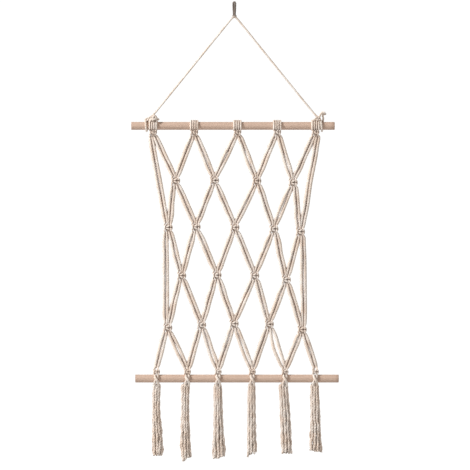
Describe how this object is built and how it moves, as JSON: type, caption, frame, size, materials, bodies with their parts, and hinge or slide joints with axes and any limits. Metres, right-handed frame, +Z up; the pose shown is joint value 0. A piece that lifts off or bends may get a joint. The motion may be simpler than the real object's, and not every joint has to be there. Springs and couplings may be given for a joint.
{
  "type": "wall hanging",
  "caption": "Open diamond net of square-knotted cotton cord between two round wooden dowels, with a tassel under each lower knot and a cord to hang it on a nail.",
  "frame": {"origin": "the nail's seat, inside the top of the hanging cord's loop", "axes": "+Z up, +X to the right along the dowels and +Y towards the wall, as someone facing the hanging sees it"},
  "size_m": [0.311, 0.0195, 0.6882],
  "materials": {
    "hanging_cotton": "thin twisted natural cotton cord, matt",
    "dowel_wood": "bare sanded hardwood dowel, satin, fine lengthwise grain",
    "net_cotton": "soft four-ply twisted natural cotton cord, matt, slightly fuzzy",
    "tassel_cotton": "unravelled cotton plies, matt, fuzzy, cut ends"
  },
  "bodies": {
    "hanger": {"hanging_cord": "hanging_cotton"},
    "top_dowel": {"top_dowel": "dowel_wood"},
    "net": {"net_cord_01": "net_cotton", "net_cord_02": "net_cotton", "net_cord_03": "net_cotton", "net_cord_04": "net_cotton", "net_cord_05": "net_cotton", "net_cord_06": "net_cotton", "net_cord_07": "net_cotton", "net_cord_08": "net_cotton", "net_cord_09": "net_cotton", "net_cord_10": "net_cotton"},
    "bottom_dowel": {"bottom_dowel": "dowel_wood"},
    "tassel_1": {"tassel_1": "tassel_cotton"},
    "tassel_2": {"tassel_2": "tassel_cotton"},
    "tassel_3": {"tassel_3": "tassel_cotton"},
    "tassel_4": {"tassel_4": "tassel_cotton"},
    "tassel_5": {"tassel_5": "tassel_cotton"},
    "tassel_6": {"tassel_6": "tassel_cotton"}
  },
  "joints": [
    {"name": "top_dowel_turn", "type": "hinge", "parent": "hanger", "child": "top_dowel", "pos_m": [-0.002, 0, -0.184], "axis": [1, 0, 0], "continuous": true},
    {"name": "net_swing", "type": "hinge", "parent": "hanger", "child": "net", "pos_m": [-0.002, 0, -0.184], "axis": [-1, 0, 0], "range_deg": [-30, 60]},
    {"name": "bottom_dowel_turn", "type": "hinge", "parent": "net", "child": "bottom_dowel", "pos_m": [0.004, 0, -0.563], "axis": [1, 0, 0], "continuous": true},
    {"name": "tassel_1_swing", "type": "hinge", "parent": "net", "child": "tassel_1", "pos_m": [-0.11683, 0, -0.57533], "axis": [-1, 0, 0], "range_deg": [-30, 50]},
    {"name": "tassel_2_swing", "type": "hinge", "parent": "net", "child": "tassel_2", "pos_m": [-0.07047, 0, -0.57533], "axis": [-1, 0, 0], "range_deg": [-30, 50]},
    {"name": "tassel_3_swing", "type": "hinge", "parent": "net", "child": "tassel_3", "pos_m": [-0.02442, 0, -0.57533], "axis": [-1, 0, 0], "range_deg": [-30, 50]},
    {"name": "tassel_4_swing", "type": "hinge", "parent": "net", "child": "tassel_4", "pos_m": [0.02682, 0, -0.57533], "axis": [-1, 0, 0], "range_deg": [-30, 50]},
    {"name": "tassel_5_swing", "type": "hinge", "parent": "net", "child": "tassel_5", "pos_m": [0.07593, 0, -0.57533], "axis": [-1, 0, 0], "range_deg": [-30, 50]},
    {"name": "tassel_6_swing", "type": "hinge", "parent": "net", "child": "tassel_6", "pos_m": [0.12122, 0, -0.57533], "axis": [-1, 0, 0], "range_deg": [-30, 50]}
  ]
}
